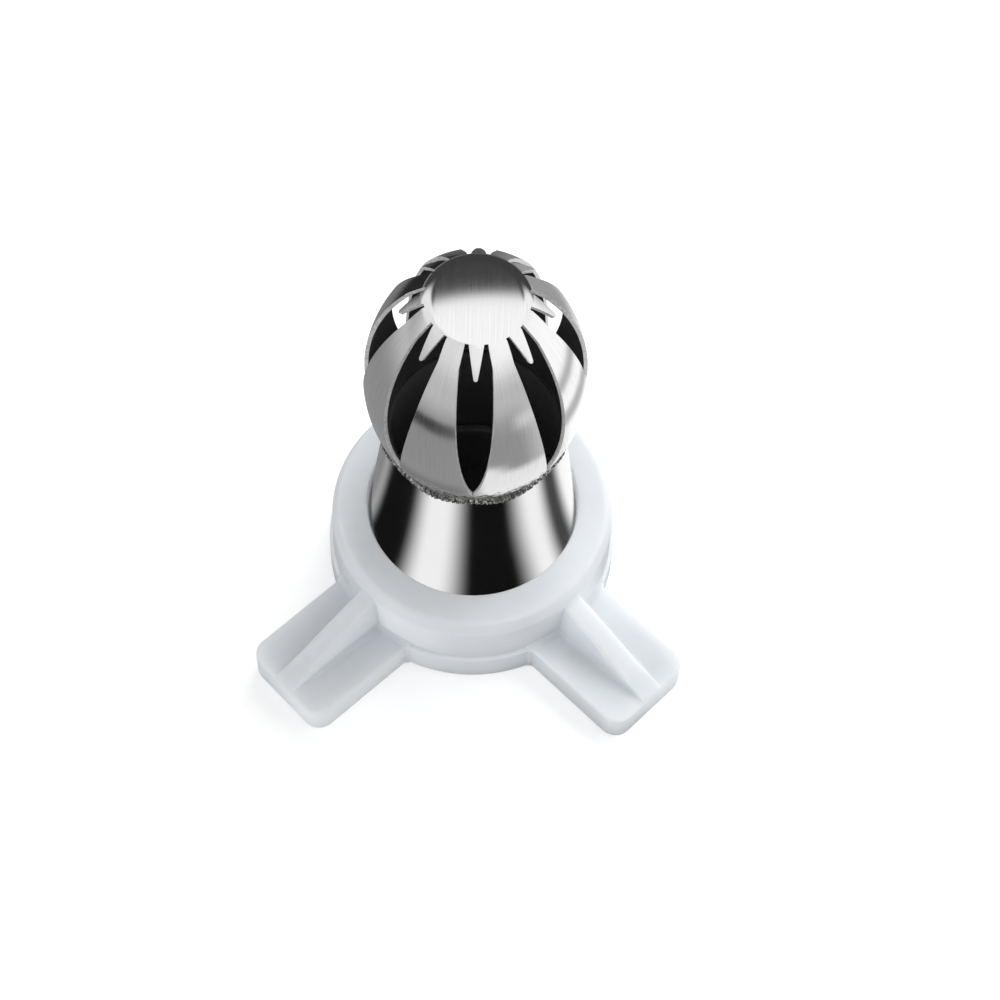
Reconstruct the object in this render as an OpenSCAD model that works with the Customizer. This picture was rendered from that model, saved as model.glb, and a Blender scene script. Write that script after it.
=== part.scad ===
// Ball icing nozzle standing in a winged lock collar, over a threaded coupler base.
// Units are millimetres. Z = 0 is the flat bottom that the collar and the base share,
// and the Z axis is the common axis of all pieces. The front wings point towards -Y.

/* [Nozzle cone] */
// Outer radius of the cone at its foot
foot_r = 15.95; // [15.4:0.05:16.4]
// Outer radius of the cone where the ball is welded on
joint_r = 12.4; // [12:0.05:13.2]
// Height of the cone from its foot to the ball
cone_h = 30.7; // [26:0.1:36]
// Thickness of the stainless sheet of cone and ball
sheet_t = 0.55; // [0.4:0.05:0.8]

/* [Slotted ball] */
// Largest outer radius of the ball
ball_r = 15.3; // [14.6:0.1:15.3]
// Radius of the arc that draws the side of the ball
side_r = 28.1; // [23:0.1:31]
// Radius of the flat top, measured to its crease
top_r = 7; // [6:0.1:8]
// Radius of the bend between the side and the flat top
crease_r = 0.9; // [0.7:0.05:2.4]
// Radius of the weld bead between ball and cone
bead_r = 0.65; // [0.3:0.05:0.9]

/* [Ball slots] */
// Number of slots round the ball
slot_count = 8; // [4:1:9]
// Widest opening of a slot
slot_w = 5; // [4.2:0.05:5.4]
// Height of whole metal between the weld and the lower point of a slot
slot_foot = 4.2; // [2:0.1:5.5]
// Height of whole metal between the upper end of a slot and the crease
slot_head = 0.12; // [0.08:0.02:0.4]
// Depth of the widest place of a slot below the crease
slot_belly = 9; // [7:0.1:11]
// Length of the straight end of a slot, beside its tooth
finger_h = 3.6; // [3:0.1:4.5]
// Width of a slot at its upper end
finger_span = 3.05; // [2.6:0.05:3.4]
// Width of the tooth where it leaves the crease
tooth_w = 2; // [1.6:0.05:2.4]
// Height of the tooth that hangs into a slot
tooth_h = 3.8; // [3:0.1:5]
// Radius of the rounded tip of a tooth
tooth_tip_r = 0.3; // [0.2:0.05:0.45]

/* [Lock collar] */
// Height of the collar up to the rim of its hole
collar_h = 15.5; // [14.5:0.1:18]
// Wall of the collar outside its thread
collar_wall = 2.65; // [2:0.05:3.5]
// Thickness of the lip at the rim of the hole
lip_t = 2.6; // [2:0.1:3.2]
// Fall of the lip from its rim to its outer edge
lip_fall = 0.95; // [0.5:0.05:1.4]
// Radius of the rounded outer edge of the lip
lip_edge_r = 1.1; // [0.6:0.05:1.5]
// Height of the band where the upper wall leans in
bevel_h = 3.2; // [2.4:0.1:4]
// Amount by which the wall leans in over that band
bevel_in = 0.9; // [0.5:0.05:1.2]
// Height of the band that seats on the cone
seat_h = 0.5; // [0.4:0.05:1]
// Opening between cone and collar at the rim
rim_gap = 0.5; // [0.3:0.05:0.8]
// Height of the flange round the collar's bottom
flange_h = 5.3; // [4.5:0.1:6.5]
// Amount by which the flange stands out from the wall
flange_out = 0.6; // [0.2:0.05:0.9]

/* [Wings] */
// Angle from the front to each front wing
wing_angle = 46; // [38:1:60]
// Distance from the axis to the end of a wing
wing_reach = 37.7; // [32:0.1:42]
// Width of a wing
wing_w = 15.1; // [12:0.1:17]
// Corner radius at the end of a wing
wing_corner_r = 2.7; // [1:0.1:5]
// Width of the rib on a wing
rib_w = 3.6; // [2.8:0.1:4.6]
// Height of the rib above its wing at the collar wall
rib_rise = 6.8; // [5:0.1:7]
// Wall left round and over the hollow underside of a wing
core_wall = 1.8; // [1.4:0.1:2.2]

/* [Coupler base] */
// Height of the threaded barrel, on which the nozzle stands
barrel_h = 8; // [7:0.1:9]
// Width of the barrel's shoulder outside the nozzle's foot
shoulder_w = 2.1; // [1.6:0.05:3]
// Height of the spigot inside the nozzle
spigot_h = 4.5; // [3:0.1:7]
// Radius of the straight bore that the icing flows through
bore_r = 13.4; // [12.4:0.1:13.8]
// Chamfer round the edges of the base
base_chamfer = 0.5; // [0.3:0.05:0.7]

/* [Clearances] */
// Running clearance of the collar round the barrel
thread_clear = 0.08; // [0.04:0.01:0.1]
// Clearance between the collar's seat and the cone
seat_clear = 0.05; // [0.02:0.01:0.1]
// Clearance between the spigot and the inside of the cone
spigot_clear = 0.1; // [0.05:0.01:0.2]
// Clearance between the weld bead and the sheets behind it
bead_clear = 0.02; // [0.01:0.01:0.05]

/* [Hidden] */
$fn = 128;
eps = 0.01;
over = 1; // how far a cutter runs past what it cuts

// Cone: a straight wall from its foot on the barrel to the weld
foot_z = barrel_h;
joint_z = foot_z + cone_h;
cone_taper = (foot_r - joint_r) / cone_h;
function cone_r(z) = foot_r - cone_taper * (z - foot_z);

// Ball: its side is one arc, whose centre lies across the axis
side_cx = ball_r - side_r;
ball_z = joint_z + sqrt(pow(side_r, 2) - pow(joint_r - side_cx, 2));
function ball_side_r(z) = side_cx + sqrt(pow(side_r, 2) - pow(ball_z - z, 2));
top_angle = acos((top_r - side_cx) / side_r);
crease_z = ball_z + side_r * sin(top_angle);
crease_cx = top_r - crease_r * cos(top_angle);
crease_cz = crease_z - crease_r * sin(top_angle);
top_z = crease_cz + crease_r;

// Slot: two arcs that cross at the lower point, widest at the belly
slot_half = slot_w / 2;
slot_tip_z = joint_z + slot_foot;
slot_top_z = crease_z - slot_head;
belly_z = crease_z - slot_belly;
slot_rise = belly_z - slot_tip_z;
slot_arc_r = (pow(slot_rise, 2) + pow(slot_half, 2)) / slot_w;
slot_in_r = top_r - 2 * sheet_t;

// Base: barrel outside the foot, spigot inside the cone, one straight bore
barrel_r = foot_r + shoulder_w;
spigot_z = barrel_h + spigot_h;
function spigot_r(z) = cone_r(z) - sheet_t - spigot_clear;

// Collar: outer wall, lip and seat, from the barrel and the cone
skirt_r = barrel_r + thread_clear;
wall_r = skirt_r + collar_wall;
flange_r = wall_r + flange_out;
lip_z = collar_h - lip_fall;
bevel_z = lip_z - bevel_h + lip_edge_r;
lip_under_z = collar_h - lip_t;
seat_top_z = lip_under_z + seat_h;
rim_r = cone_r(collar_h) + rim_gap;
edge_r = wall_r - bevel_in - lip_edge_r;

wing_turns = [-90 - wing_angle, -90 + wing_angle, 90];

// Half outline of the ball's outer face, or of its inner face when set in by a sheet
module ball_outline(inset) {
    intersection() {
        translate([side_cx, ball_z]) circle(side_r - inset);
        translate([0, joint_z]) square([ball_r, crease_z - joint_z - inset * sin(top_angle)]);
    }
    intersection() {
        translate([crease_cx, crease_cz]) circle(crease_r - inset);
        translate([0, crease_cz]) square([ball_r, crease_r]);
    }
    translate([0, joint_z]) square([crease_cx, top_z - inset - joint_z]);
}

// One slot seen from outside, x across and y up, without its tooth
module slot_outline() {
    intersection() {
        translate([slot_arc_r - slot_half, belly_z]) circle(slot_arc_r, $fn = 360);
        translate([slot_half - slot_arc_r, belly_z]) circle(slot_arc_r, $fn = 360);
        polygon([
            [-slot_half, joint_z], [slot_half, joint_z],
            [slot_half, slot_top_z - finger_h], [finger_span / 2, slot_top_z],
            [-finger_span / 2, slot_top_z], [-slot_half, slot_top_z - finger_h],
        ]);
    }
}

// The tooth that hangs from the crease into a slot
module tooth_outline() {
    tip_z = slot_top_z - tooth_h + tooth_tip_r;
    polygon([
        [-tooth_w / 2, slot_top_z], [-tooth_tip_r, tip_z], [tooth_tip_r, tip_z], [tooth_w / 2, slot_top_z],
        [tooth_w / 2, crease_z], [-tooth_w / 2, crease_z],
    ]);
    translate([0, tip_z]) circle(tooth_tip_r, $fn = 32);
}

module slot_cutter() {
    rotate([90, 0, 0]) translate([0, 0, slot_in_r])
        linear_extrude(ball_r + over - slot_in_r) difference() {
            slot_outline();
            tooth_outline();
        }
}

// Ball of pressed sheet, cut open by slots and left whole at the flat top
module nozzle_dome() {
    slot_turn = 360 / slot_count;
    color([0.78, 0.78, 0.79]) difference() {
        rotate([0, 0, slot_turn / 2 - 90]) rotate_extrude() difference() {
            ball_outline(0);
            translate([0, -eps]) ball_outline(sheet_t);
        }
        for (i = [0 : slot_count - 1]) rotate([0, 0, i * slot_turn]) slot_cutter();
    }
}

// Tapered tube that carries the ball and stands on the base
module nozzle_cone() {
    color([0.72, 0.72, 0.74]) rotate_extrude() polygon([
        [foot_r - sheet_t, foot_z], [foot_r, foot_z],
        [joint_r, joint_z], [joint_r - sheet_t, joint_z],
    ]);
}

// Weld run along the joint, half a round section outside the sheets
module weld_bead() {
    bead_in_r = max(cone_r(joint_z - bead_r), ball_side_r(joint_z + bead_r)) + bead_clear;
    color([0.45, 0.45, 0.46]) rotate_extrude() intersection() {
        translate([joint_r + bead_clear, joint_z]) circle(bead_r, $fn = 48);
        translate([bead_in_r, joint_z - bead_r]) square(2 * bead_r);
    }
}

// Turned outline of the collar: flange, leaning wall, rounded lip, seat and thread bore
module collar_outline() {
    difference() {
        union() {
            square([flange_r, flange_h]);
            polygon([
                [0, 0], [wall_r, 0], [wall_r, bevel_z],
                [edge_r + lip_edge_r, lip_z - lip_edge_r], [0, lip_z - lip_edge_r],
            ]);
            translate([edge_r, lip_z - lip_edge_r]) circle(lip_edge_r, $fn = 64);
            polygon([
                [0, lip_z - lip_edge_r], [edge_r, lip_z - lip_edge_r], [edge_r, lip_z],
                [rim_r, collar_h], [0, collar_h],
            ]);
        }
        translate([0, -over]) square([skirt_r, lip_under_z + over]);
        polygon([
            [0, lip_under_z - over], [cone_r(lip_under_z) + seat_clear, lip_under_z - over],
            [cone_r(lip_under_z) + seat_clear, lip_under_z], [cone_r(seat_top_z) + seat_clear, seat_top_z],
            [rim_r, collar_h], [rim_r, collar_h + over], [0, collar_h + over],
        ]);
    }
}

// One wing pointing along +X: plate with rounded end corners, rib on top, hollow beneath
module wing() {
    root_r = skirt_r + collar_wall / 2;
    corner_x = wing_reach - wing_corner_r;
    corner_y = wing_w / 2 - wing_corner_r;
    core_corner_r = max(wing_corner_r - core_wall, 0.2);
    core_x = flange_r + core_wall;
    core_len = wing_reach - core_wall - core_x;
    core_w = wing_w - 2 * core_wall;
    difference() {
        union() {
            linear_extrude(flange_h) {
                translate([root_r, -wing_w / 2]) square([corner_x - root_r, wing_w]);
                translate([root_r, -corner_y]) square([wing_reach - root_r, 2 * corner_y]);
                for (side = [-1, 1]) translate([corner_x, side * corner_y]) circle(wing_corner_r, $fn = 64);
            }
            translate([0, rib_w / 2, 0]) rotate([90, 0, 0]) linear_extrude(rib_w)
                polygon([
                    [root_r, 0], [wing_reach, 0], [wing_reach, flange_h],
                    [wall_r, flange_h + rib_rise], [root_r, flange_h + rib_rise],
                ]);
        }
        translate([0, 0, -over]) linear_extrude(flange_h - core_wall + over) {
            translate([core_x, -core_w / 2]) square([core_len - core_corner_r, core_w]);
            translate([core_x, core_corner_r - core_w / 2]) square([core_len, core_w - 2 * core_corner_r]);
            for (side = [-1, 1])
                translate([core_x + core_len - core_corner_r, side * (core_w / 2 - core_corner_r)])
                    circle(core_corner_r, $fn = 48);
        }
    }
}

// Moulded lock collar with two front wings and one at the back
module lock_collar() {
    color([0.93, 0.94, 0.96]) union() {
        rotate_extrude() collar_outline();
        for (turn = wing_turns) rotate([0, 0, turn]) wing();
    }
}

// Threaded base that goes inside the icing bag: barrel, shoulder, spigot, straight bore
module coupler_base() {
    chamfer_z = spigot_z - base_chamfer;
    color([0.9, 0.91, 0.93]) rotate_extrude() polygon([
        [bore_r, 0], [barrel_r - base_chamfer, 0], [barrel_r, base_chamfer], [barrel_r, barrel_h],
        [spigot_r(barrel_h), barrel_h], [spigot_r(chamfer_z), chamfer_z],
        [spigot_r(chamfer_z) - base_chamfer, spigot_z], [bore_r, spigot_z],
    ]);
}

nozzle_dome();
nozzle_cone();
weld_bead();
lock_collar();
coupler_base();
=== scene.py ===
# %% [markdown]
# # A ball icing nozzle in its winged lock collar
# This lesson dresses a small kitchen tool. A stainless nozzle, a slotted ball welded to a
# polished cone, stands through a milky plastic collar with wings. Inside the collar hides the
# threaded base that goes into the icing bag. The frame holds the exact solids with their joints,
# so we load it first and build every visible surface round it, in the same place and size.

# %% Load the frame
import math

import bmesh
import bpy
import numpy as np
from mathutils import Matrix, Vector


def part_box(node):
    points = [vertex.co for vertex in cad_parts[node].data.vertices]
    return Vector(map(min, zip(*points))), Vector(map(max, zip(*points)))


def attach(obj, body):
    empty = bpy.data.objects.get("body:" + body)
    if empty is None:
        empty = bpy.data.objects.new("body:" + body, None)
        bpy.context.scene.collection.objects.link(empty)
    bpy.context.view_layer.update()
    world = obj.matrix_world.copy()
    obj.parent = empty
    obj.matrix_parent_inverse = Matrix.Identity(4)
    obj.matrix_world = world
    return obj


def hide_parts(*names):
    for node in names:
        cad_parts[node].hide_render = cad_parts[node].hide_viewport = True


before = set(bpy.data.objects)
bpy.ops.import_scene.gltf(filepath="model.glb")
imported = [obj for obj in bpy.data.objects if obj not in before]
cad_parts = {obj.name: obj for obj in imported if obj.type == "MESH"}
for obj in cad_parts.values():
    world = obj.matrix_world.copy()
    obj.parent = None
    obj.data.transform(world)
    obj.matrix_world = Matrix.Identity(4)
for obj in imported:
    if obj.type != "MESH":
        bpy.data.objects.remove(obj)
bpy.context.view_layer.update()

# %% [markdown]
# ## Sizes
# The shapes below are worked out in millimetres and scaled to metres when a mesh is made. What
# the frame can tell, such as where the joint between ball and cone lies, is read from it. The
# rest are the sizes that a maker would write on the drawing.

# %% Read the main heights and radii from the frame
MM = 0.001


def mm_box(node):
    """Lowest and highest corner of a CAD node, in millimetres."""
    low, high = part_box(node)
    return np.array(low) / MM, np.array(high) / MM


cone_low, cone_high = mm_box("nozzle_cone")
_, dome_high = mm_box("nozzle_dome")
_, base_high = mm_box("coupler_base")
_, collar_high = mm_box("lock_collar")
foot_z, joint_z, top_z = cone_low[2], cone_high[2], dome_high[2]
foot_r, barrel_r = cone_high[0], base_high[0]
spigot_z, collar_h, wing_reach = base_high[2], collar_high[2], collar_high[1]
print(f"foot {foot_z:.2f}, joint {joint_z:.2f}, top {top_z:.2f}, foot radius {foot_r:.2f} mm")

# %% Name the drawing sizes that a box can't give
SHEET = 0.55
JOINT_R = 12.4
BALL_R, SIDE_R, TOP_R, CREASE_R = 15.3, 28.1, 7.0, 0.9
SLOTS, SLOT_W, SLOT_FOOT, SLOT_HEAD, SLOT_BELLY = 8, 5.0, 4.2, 0.12, 9.0
FINGER_H, FINGER_SPAN = 3.6, 3.05
TOOTH_W, TOOTH_H, TOOTH_TIP_R = 2.0, 3.8, 0.3
COLLAR_WALL, FLANGE_H, FLANGE_OUT = 2.65, 5.3, 0.6
LIP_T, LIP_FALL, LIP_EDGE_R = 2.6, 0.95, 1.1
BEVEL_H, BEVEL_IN, SEAT_H, RIM_GAP = 3.2, 0.9, 0.5, 0.5
WING_ANGLE, WING_W, WING_CORNER_R = 46.0, 15.1, 2.7
RIB_W, RIB_RISE, CORE_WALL = 3.6, 6.8, 1.8
BORE_R, BARREL_H, BASE_CHAMFER = 13.4, 8.0, 0.5
THREAD_CLEAR, SEAT_CLEAR, SPIGOT_CLEAR = 0.08, 0.05, 0.1
PITCH, THREAD_DEPTH = 3.0, 0.5

cone_taper = (foot_r - JOINT_R) / (joint_z - foot_z)


def cone_r(z):
    """Outer radius of the cone: it falls in a straight line from the foot."""
    return foot_r - cone_taper * (z - foot_z)


print(f"the cone loses {cone_taper:.3f} mm of radius for each mm of height")

# %% [markdown]
# ## Surfaces as arrays
# A part of revolution, a lofted wing and a slotted ball are all grids of points. One function
# numbers the quads of a grid, one rounds the corners of an outline, and one turns a closed
# outline about the Z axis. Modelling the same forms by hand would take longer, and it would
# lose the link to the drawing sizes.

# %% Number the quads of a grid


def grid_quads(rows, columns, wrap_rows=False, wrap_columns=False):
    """Each quad joins a point, the next in its row, and the pair one row on."""
    i = np.arange(rows if wrap_rows else rows - 1)
    j = np.arange(columns if wrap_columns else columns - 1)
    i, j = np.meshgrid(i, j, indexing="ij")
    i_next, j_next = (i + 1) % rows, (j + 1) % columns
    quads = [i * columns + j, i * columns + j_next, i_next * columns + j_next, i_next * columns + j]
    return np.stack(quads, axis=-1).reshape(-1, 4)


print("a 3 by 4 grid has", len(grid_quads(3, 4)), "quads")

# %% Round the corners of a closed outline
TINY = 1e-6


def rounded(corners, radii, steps=5):
    """Replaces each corner by an arc that touches both of its sides.

    With unit vectors a and b from the corner to its neighbours and half the angle h between
    them, the arc starts r / tan h along a, ends r / tan h along b, and its centre lies
    r / sin h along the bisector. corners is (..., n, 2) and radii (..., n).
    """
    corners, radii = np.broadcast_arrays(corners, np.asarray(radii)[..., None])
    radii = radii[..., 0]
    before = np.roll(corners, 1, axis=-2) - corners
    after = np.roll(corners, -1, axis=-2) - corners
    a = before / np.linalg.norm(before, axis=-1, keepdims=True)
    b = after / np.linalg.norm(after, axis=-1, keepdims=True)
    bisector = a + b
    length = np.linalg.norm(bisector, axis=-1)
    straight = length < TINY
    half = np.arccos(np.clip((a * b).sum(-1), -1, 1)) / 2
    reach = np.where(straight, 0, radii / np.tan(np.where(straight, 1, half)))
    centre_step = np.where(straight, 0, radii / np.sin(half))
    centre = corners + bisector / np.where(straight, 1, length)[..., None] * centre_step[..., None]
    start, end = corners + a * reach[..., None] - centre, corners + b * reach[..., None] - centre
    t = np.linspace(0, 1, steps)[:, None]
    chord = start[..., None, :] * (1 - t) + end[..., None, :] * t
    size = np.linalg.norm(chord, axis=-1, keepdims=True)
    arc = chord / np.maximum(size, TINY) * radii[..., None, None]
    arc = np.where(straight[..., None, None], 0, arc)
    points = centre[..., None, :] + arc
    return points.reshape(*corners.shape[:-2], -1, 2)


square = np.array([[1.0, 0], [2, 0], [2, 1], [1, 1]])
print("a rounded square has", len(rounded(square, 0.2)), "points")

# %% Put extra points on long stretches
SHORTEST = 0.02


def with_spacing(outline, spacing):
    """Keeps the outline's own points and adds more along it, a spacing apart at most.

    Length along the outline is the running sum of the sides, and points that would lie closer
    to the next one than SHORTEST are left out.
    """
    closed = np.vstack([outline, outline[:1]])
    length = np.r_[0, np.cumsum(np.linalg.norm(np.diff(closed, axis=0), axis=1))]
    even = np.linspace(0, length[-1], int(length[-1] / spacing) + 1)
    places = np.unique(np.round(np.r_[length, even], 4))[:-1]
    gap = np.diff(places, append=length[-1])
    places = places[gap > SHORTEST]
    return np.column_stack([np.interp(places, length, closed[:, k]) for k in (0, 1)])


print("spaced outline:", len(with_spacing(square, 0.25)), "points")

# %% Turn an outline about the Z axis


def about_axis(r, a, z):
    """Points at x = r cos a, y = r sin a, and z."""
    return np.stack(np.broadcast_arrays(r * np.cos(a), r * np.sin(a), z), axis=-1)


def lathe(outline, turns, shift=None):
    """Every point of a closed outline of r and z, at each angle a of a full turn.

    shift(a, r, z), where given, is added to r, so that a thread can follow a helix.
    """
    a = np.linspace(0, 2 * np.pi, turns, endpoint=False)[:, None]
    r, z = outline[:, 0] + 0 * a, outline[:, 1] + 0 * a
    if shift is not None:
        r = r + shift(a, r, z)
    quads = grid_quads(turns, len(outline), wrap_rows=True, wrap_columns=True)
    return about_axis(r, a, z).reshape(-1, 3), quads


square_ring = lathe(square, 64)
print("a square turned in 64 steps has", len(square_ring[0]), "points")

# %% Make a piece from points and faces


def signed_volume(points, quads):
    """Sum over the faces of a . (b x c) / 6, which is positive where they point outwards."""
    a, b, c, d = (points[quads[:, k]] for k in range(4))
    return (a * (np.cross(b, c) + np.cross(c, d))).sum() / 6


def new_mesh(name, points, quads):
    """A mesh in metres, from points in millimetres and the quads that join them."""
    mesh = bpy.data.meshes.new(name)
    mesh.from_pydata((points * MM).tolist(), [], quads.tolist())
    return mesh


def new_object(name, data):
    """An object for a mesh, a lamp or a camera, put into the scene at the origin."""
    item = bpy.data.objects.new(name, data)
    bpy.context.scene.collection.objects.link(item)
    return item


def add_piece(name, points, quads, uv=None, closed=True, weld=0.002, sharp=35):
    """A smooth-shaded mesh object whose doubles are merged within weld mm.

    uv holds one pair for each face corner, and edges sharper than sharp degrees stay crisp.
    """
    if closed and signed_volume(points, quads) < 0:
        quads = quads[:, ::-1]
        uv = None if uv is None else uv[:, ::-1]
    mesh = new_mesh(name, points, quads)
    if uv is not None:
        layer = mesh.uv_layers.new(name="grain")
        layer.data.foreach_set("uv", uv.reshape(-1).astype(np.float32))
    work = bmesh.new()
    work.from_mesh(mesh)
    bmesh.ops.remove_doubles(work, verts=work.verts, dist=weld * MM)
    bmesh.ops.dissolve_degenerate(work, edges=work.edges, dist=weld * MM / 10)
    work.to_mesh(mesh)
    work.free()
    mesh.shade_smooth()
    mesh.set_sharp_from_angle(angle=math.radians(sharp))
    print(f"{name}: {len(mesh.vertices)} points, {len(mesh.polygons)} faces")
    return new_object(name, mesh)


print(f"the ring encloses {abs(signed_volume(*square_ring)):.2f}, close to {3 * math.pi:.2f}")

# %% [markdown]
# ## The ball
# The real ball is pressed from one sheet and punched. Its side is one arc whose centre lies
# across the axis, so it is narrower at the top than a sphere, and it ends in a small bend and a
# nearly flat top. A boolean cut would leave ragged shading along the slots. So the petals
# between the slots are strips of a grid whose side edges are the slot edges themselves, and
# the teeth are narrow strips of their own.

# %% Work out the ball's side
side_cx = BALL_R - SIDE_R
ball_z = joint_z + math.sqrt(SIDE_R ** 2 - (JOINT_R - side_cx) ** 2)
top_angle = math.acos((TOP_R - side_cx) / SIDE_R)
crease_z = ball_z + SIDE_R * math.sin(top_angle)
crease_cx = TOP_R - CREASE_R * math.cos(top_angle)
crease_cz = crease_z - CREASE_R * math.sin(top_angle)
slot_tip_z, slot_top_z = joint_z + SLOT_FOOT, crease_z - SLOT_HEAD
belly_z = crease_z - SLOT_BELLY
slot_arc_r = ((belly_z - slot_tip_z) ** 2 + (SLOT_W / 2) ** 2) / SLOT_W
tooth_tip_z = slot_top_z - TOOTH_H + TOOTH_TIP_R
print(f"widest at {ball_z:.2f} mm, crease at {crease_z:.2f} mm, slot from {slot_tip_z:.2f} mm")


def side_r(z):
    """Radius of the side: the centre's plus the root of arc radius squared less height squared."""
    return side_cx + np.sqrt(SIDE_R ** 2 - (z - ball_z) ** 2)


def slot_half(z):
    """Half width of a slot: an arc, cut by the straight ends beside the tooth, zero outside."""
    arc = SLOT_W / 2 - slot_arc_r + np.sqrt(slot_arc_r ** 2 - (z - belly_z) ** 2)
    straight = FINGER_SPAN / 2 + (SLOT_W - FINGER_SPAN) / 2 * (slot_top_z - z) / FINGER_H
    return np.clip(np.minimum(arc, straight), 0, None)


def tooth_half(z):
    """Half width of a tooth: a straight taper that ends in a round tip."""
    share = (z - tooth_tip_z) / (slot_top_z - tooth_tip_z)
    taper = TOOTH_TIP_R + (TOOTH_W / 2 - TOOTH_TIP_R) * share
    tip = np.sqrt(np.clip(TOOTH_TIP_R ** 2 - (z - tooth_tip_z) ** 2, 0, None))
    return np.where(z > tooth_tip_z, taper, tip)


# %% Lay out the rows of the ball, from the weld to the middle of the top
CROWN, BEND_LEG = 0.16, 0.95
lower = np.linspace(joint_z, slot_tip_z, 7)
petal = slot_tip_z + (tooth_tip_z - TOOTH_TIP_R - slot_tip_z) * np.linspace(0, 1, 64) ** 1.25
tip = tooth_tip_z - TOOTH_TIP_R * np.cos(np.linspace(0, np.pi / 2, 6))
finger = np.linspace(tooth_tip_z, slot_top_z, 22)
side_z = np.unique(np.round(np.r_[lower, petal, tip, finger, crease_z], 5))
bend = np.linspace(top_angle, np.pi / 2, 7)[1:]
flat = crease_cx * np.linspace(1, 0, 20)[1:]
row_r = np.r_[side_r(side_z), crease_cx + CREASE_R * np.cos(bend), flat]
row_z = np.r_[side_z, crease_cz + CREASE_R * np.sin(bend), np.full(len(flat), top_z)]
crown = np.where(row_r < TOP_R, CROWN * (row_r / TOP_R) ** 2, CROWN)
row_z[len(side_z):] -= (crown * (1 - (row_z - top_z) / (crease_z - top_z)))[len(side_z):]
row_s = np.r_[0, np.cumsum(np.hypot(np.diff(row_r), np.diff(row_z)))]


def eased(middle, leg):
    """Bends the outline over two legs beside a place on it, by a curve with three control points.

    The middle control point is where the tangents at both ends meet. A point at share t lies at
    (1 - t) squared of the first, 2 t (1 - t) of the middle and t squared of the last.
    """
    ends = np.interp([middle - leg, middle - leg + 0.1, middle + leg - 0.1, middle + leg], row_s, rows)
    a, a2, b2, b = [np.array([np.interp(e, rows, row_r), np.interp(e, rows, row_z)]) for e in ends]
    share = np.linalg.solve(np.column_stack([a2 - a, b - b2]), b - a)
    meet = a + share[0] * (a2 - a)
    inside = np.abs(row_s - middle) < leg
    t = ((row_s[inside] - middle + leg) / (2 * leg))[:, None]
    bent = (1 - t) ** 2 * a + 2 * t * (1 - t) * meet + t ** 2 * b
    row_r[inside], row_z[inside] = bent[:, 0], bent[:, 1]


rows = np.arange(len(row_r))
eased(row_s[len(side_z) + 2], BEND_LEG)
print(len(row_r), "rows over", round(row_s[-1], 1), "mm of sheet")

# %% Cut the rows into petals and teeth
TIP_ROW = int(np.argmin(abs(row_z[:len(side_z)] - slot_tip_z)))
TOOTH_ROW = int(np.argmin(abs(row_z[:len(side_z)] - (tooth_tip_z - TOOTH_TIP_R))))
HEAD_ROW = int(np.argmin(abs(row_z[:len(side_z)] - slot_top_z)))
UV_SIZE, PETAL_COLUMNS, TOOTH_COLUMNS, ROOT_COLUMNS = 100, 17, 7, 3
sector = 2 * np.pi / SLOTS
head_angle = math.asin(FINGER_SPAN / 2 / row_r[HEAD_ROW])
tooth_angle = math.asin(TOOTH_W / 2 / row_r[HEAD_ROW])
above = rows > HEAD_ROW
safe_r = np.maximum(row_r, TOP_R / 2)
edge = np.where(above, head_angle, np.arcsin(slot_half(np.where(above, belly_z, row_z)) / safe_r))
edge[:TIP_ROW + 1] = 0
tooth_edge = np.where(above, tooth_angle,
                      np.arcsin(tooth_half(np.where(above, slot_top_z, row_z)) / safe_r))


def strip(first_row, left, right, columns, centre):
    """A grid between two edge angles: one row of points for each row of the ball.

    Its map runs along V with the sheet's length on the side, and is seen from above on the top.
    """
    t = np.linspace(0, 1, columns)
    angle = centre + left[first_row:, None] * (1 - t) + right[first_row:, None] * t
    r, z, s = row_r[first_row:, None], row_z[first_row:, None], row_s[first_row:, None]
    points = about_axis(r, angle, z).reshape(-1, 3)
    side_uv = np.stack([angle * BALL_R, s + 0 * angle], axis=-1)
    on_top = np.arange(len(r) - 1) + first_row >= len(side_z) - 1
    quads = grid_quads(*angle.shape)
    cell_top = np.repeat(on_top, columns - 1)[:, None, None]
    uv = np.where(cell_top, points[quads][..., :2], side_uv.reshape(-1, 2)[quads])
    return points, quads, uv / UV_SIZE


def joined(parts):
    """Several grids as one: each keeps its quads, moved past the points before it."""
    points, quads, uvs = zip(*parts)
    starts = np.cumsum([0] + [len(p) for p in points[:-1]])
    return np.vstack(points), np.vstack([q + n for q, n in zip(quads, starts)]), np.vstack(uvs)


parts = []
for k in range(SLOTS):
    middle = -np.pi / 2 + k * sector
    parts.append(strip(0, edge, sector - edge, PETAL_COLUMNS, middle))
    parts.append(strip(TOOTH_ROW, -tooth_edge, tooth_edge, TOOTH_COLUMNS, middle))
    parts.append(strip(HEAD_ROW, -edge, -tooth_edge, ROOT_COLUMNS, middle))
    parts.append(strip(HEAD_ROW, tooth_edge, edge, ROOT_COLUMNS, middle))
ball = add_piece("slotted_ball", *joined(parts), closed=False, weld=0.004)

# %% Give the sheet its thickness and softened cut edges
CUT_EDGE_R = 0.19
wall = ball.modifiers.new("sheet", "SOLIDIFY")
wall.thickness = SHEET * MM
wall.offset = -1
wall.use_even_offset = True
wall.material_offset, wall.material_offset_rim = 1, 2
edges = ball.modifiers.new("cut_edges", "BEVEL")
edges.width = CUT_EDGE_R * MM
edges.segments = 2
edges.limit_method = "ANGLE"
edges.angle_limit = math.radians(50)
edges.harden_normals = True
edges.material = 2
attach(ball, "nozzle")
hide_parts("nozzle_dome")
print("ball modifiers:", [modifier.name for modifier in ball.modifiers])

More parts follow.
